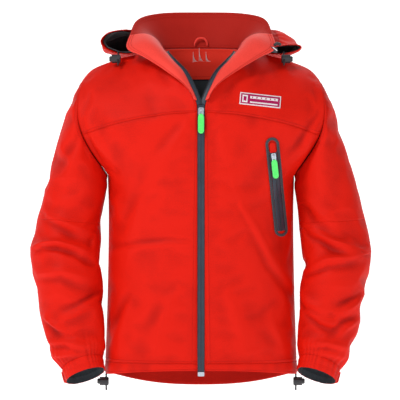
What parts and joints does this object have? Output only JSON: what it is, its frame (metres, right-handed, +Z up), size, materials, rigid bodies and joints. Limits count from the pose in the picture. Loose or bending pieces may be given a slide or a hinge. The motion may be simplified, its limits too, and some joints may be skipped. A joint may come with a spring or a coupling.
{
  "type": "foul weather jacket",
  "caption": "Hooded waterproof sailing jacket with a front zip, open collar, folded hood, chest zip pocket, cord locks and elastic cuffs, hanging as if worn.",
  "frame": {"origin": "centre of the neck opening, at the height where the jacket rests on the neck and shoulders", "axes": "+Z up, +X towards the wearer's left, the front faces -Y"},
  "size_m": [0.7416, 0.3419, 0.831],
  "materials": {
    "shell_fabric": "matte laminated woven shell, fine plain weave, slight sheen",
    "facing_fabric": "matte woven facing, a little lighter than the shell",
    "lining_mesh": "dark knitted mesh lining",
    "zip_tape": "polyurethane coated zip tape",
    "zip_metal": "satin coated metal",
    "pull_plastic": "moulded soft plastic, bright green",
    "pocket_laminate": "bonded laminate, smooth grey",
    "garage_fabric": "matte woven",
    "badge": "woven patch with a pale border and a deep magenta field",
    "lock_plastic": "moulded black plastic",
    "cord": "braided elastic cord"
  },
  "bodies": {
    "shell": {"back_body": "shell_fabric", "back_yoke": "shell_fabric", "chest_badge": "badge", "collar_back": "facing_fabric", "collar_front_left": "facing_fabric", "collar_front_right": "facing_fabric", "front_body_left": "shell_fabric", "front_body_right": "shell_fabric", "front_yoke_left": "shell_fabric", "front_yoke_right": "shell_fabric", "hanger_loop": "facing_fabric", "hem_band_back": "shell_fabric", "hem_band_front_left": "shell_fabric", "hem_band_front_right": "shell_fabric", "hem_lock_left_cord": "cord", "hem_lock_right_cord": "cord", "hood_lock_left_cord": "cord", "hood_lock_right_cord": "cord", "inner_yoke_facing": "facing_fabric", "lining_back": "lining_mesh", "lining_front_left": "lining_mesh", "lining_front_right": "lining_mesh", "pocket_bag": "lining_mesh", "pocket_frame": "pocket_laminate", "pocket_garage": "garage_fabric", "pocket_zip_tape": "zip_tape", "sleeve_cap_left": "shell_fabric", "sleeve_cap_right": "shell_fabric", "zip_box": "zip_metal", "zip_chain": "zip_metal", "zip_tape_left": "zip_tape", "zip_tape_open_left": "zip_tape", "zip_tape_open_right": "zip_tape", "zip_tape_right": "zip_tape"},
    "zip_slider_body": {"zip_slider": "zip_metal"},
    "zip_pull": {"zip_pull_link": "zip_metal", "zip_pull_tab": "pull_plastic"},
    "pocket_slider_body": {"pocket_slider": "zip_metal"},
    "pocket_pull": {"pocket_pull_link": "zip_metal", "pocket_pull_tab": "pull_plastic"},
    "hood": {"hood_shell": "shell_fabric", "hood_lining": "lining_mesh"},
    "upper_arm_right": {"sleeve_upper_right": "shell_fabric", "sleeve_elbow_right": "shell_fabric"},
    "forearm_right": {"sleeve_lower_right": "shell_fabric", "cuff_right": "shell_fabric"},
    "cuff_tab_body_right": {"cuff_tab_right": "facing_fabric"},
    "hood_lock_right": {"hood_lock_right_barrel": "lock_plastic"},
    "hood_lock_right_button": {"hood_lock_right_plunger": "lock_plastic"},
    "hem_lock_right": {"hem_lock_right_barrel": "lock_plastic"},
    "hem_lock_right_button": {"hem_lock_right_plunger": "lock_plastic"},
    "upper_arm_left": {"sleeve_upper_left": "shell_fabric", "sleeve_elbow_left": "shell_fabric"},
    "forearm_left": {"sleeve_lower_left": "shell_fabric", "cuff_left": "shell_fabric"},
    "cuff_tab_body_left": {"cuff_tab_left": "facing_fabric"},
    "hood_lock_left": {"hood_lock_left_barrel": "lock_plastic"},
    "hood_lock_left_button": {"hood_lock_left_plunger": "lock_plastic"},
    "hem_lock_left": {"hem_lock_left_barrel": "lock_plastic"},
    "hem_lock_left_button": {"hem_lock_left_plunger": "lock_plastic"}
  },
  "joints": [
    {"name": "main_slider_travel", "type": "slide", "parent": "shell", "child": "zip_slider_body", "axis": [0, 0, -1], "range_m": [0, 0.545]},
    {"name": "main_pull_swing", "type": "hinge", "parent": "zip_slider_body", "child": "zip_pull", "pos_m": [0, -0.1488, -0.077], "axis": [-1, 0, 0], "range_deg": [0, 150]},
    {"name": "pocket_slider_travel", "type": "slide", "parent": "shell", "child": "pocket_slider_body", "axis": [0.109, 0.2087, -0.9719], "range_m": [0, 0.155]},
    {"name": "pocket_pull_swing", "type": "hinge", "parent": "pocket_slider_body", "child": "pocket_pull", "pos_m": [0.15645, -0.1288, -0.17571], "axis": [-0.9938, 0, -0.1115], "range_deg": [0, 140]},
    {"name": "hood_lift", "type": "hinge", "parent": "shell", "child": "hood", "pos_m": [0, 0.09, 0.075], "axis": [1, 0, 0], "range_deg": [0, 50], "deforming": ["hood_shell", "hood_lining"]},
    {"name": "shoulder_right", "type": "hinge", "parent": "shell", "child": "upper_arm_right", "pos_m": [-0.225, 0, -0.16], "axis": [0, 1, 0], "range_deg": [0, 30], "deforming": ["sleeve_cap_right"]},
    {"name": "elbow_right", "type": "hinge", "parent": "upper_arm_right", "child": "forearm_right", "pos_m": [-0.298, -0.012, -0.392], "axis": [-1, 0, 0], "range_deg": [0, 50], "deforming": ["sleeve_elbow_right"]},
    {"name": "cuff_tab_peel_right", "type": "hinge", "parent": "forearm_right", "child": "cuff_tab_body_right", "pos_m": [-0.2525, -0.0219, -0.6544], "axis": [0.249, -0.0241, -0.9682], "range_deg": [0, 70]},
    {"name": "hood_lock_right_slide", "type": "slide", "parent": "shell", "child": "hood_lock_right", "axis": [0, 0.7529, 0.6581], "range_m": [-0.005, 0.004]},
    {"name": "hood_lock_right_press", "type": "slide", "parent": "hood_lock_right", "child": "hood_lock_right_button", "axis": [1, 0, 0], "range_m": [0, 0.003], "stiffness_N_per_m": 300},
    {"name": "hem_lock_right_slide", "type": "slide", "parent": "shell", "child": "hem_lock_right", "axis": [0, 0, 1], "range_m": [-0.005, 0.004]},
    {"name": "hem_lock_right_press", "type": "slide", "parent": "hem_lock_right", "child": "hem_lock_right_button", "axis": [1, 0, 0], "range_m": [0, 0.003], "stiffness_N_per_m": 300},
    {"name": "shoulder_left", "type": "hinge", "parent": "shell", "child": "upper_arm_left", "pos_m": [0.225, 0, -0.16], "axis": [0, -1, 0], "range_deg": [0, 30], "deforming": ["sleeve_cap_left"]},
    {"name": "elbow_left", "type": "hinge", "parent": "upper_arm_left", "child": "forearm_left", "pos_m": [0.298, -0.012, -0.392], "axis": [-1, 0, 0], "range_deg": [0, 50], "deforming": ["sleeve_elbow_left"]},
    {"name": "cuff_tab_peel_left", "type": "hinge", "parent": "forearm_left", "child": "cuff_tab_body_left", "pos_m": [0.2525, -0.0219, -0.6544], "axis": [0.249, 0.0241, 0.9682], "range_deg": [0, 70]},
    {"name": "hood_lock_left_slide", "type": "slide", "parent": "shell", "child": "hood_lock_left", "axis": [0, 0.7529, 0.6581], "range_m": [-0.005, 0.004]},
    {"name": "hood_lock_left_press", "type": "slide", "parent": "hood_lock_left", "child": "hood_lock_left_button", "axis": [-1, 0, 0], "range_m": [0, 0.003], "stiffness_N_per_m": 300},
    {"name": "hem_lock_left_slide", "type": "slide", "parent": "shell", "child": "hem_lock_left", "axis": [0, 0, 1], "range_m": [-0.005, 0.004]},
    {"name": "hem_lock_left_press", "type": "slide", "parent": "hem_lock_left", "child": "hem_lock_left_button", "axis": [-1, 0, 0], "range_m": [0, 0.003], "stiffness_N_per_m": 300}
  ]
}
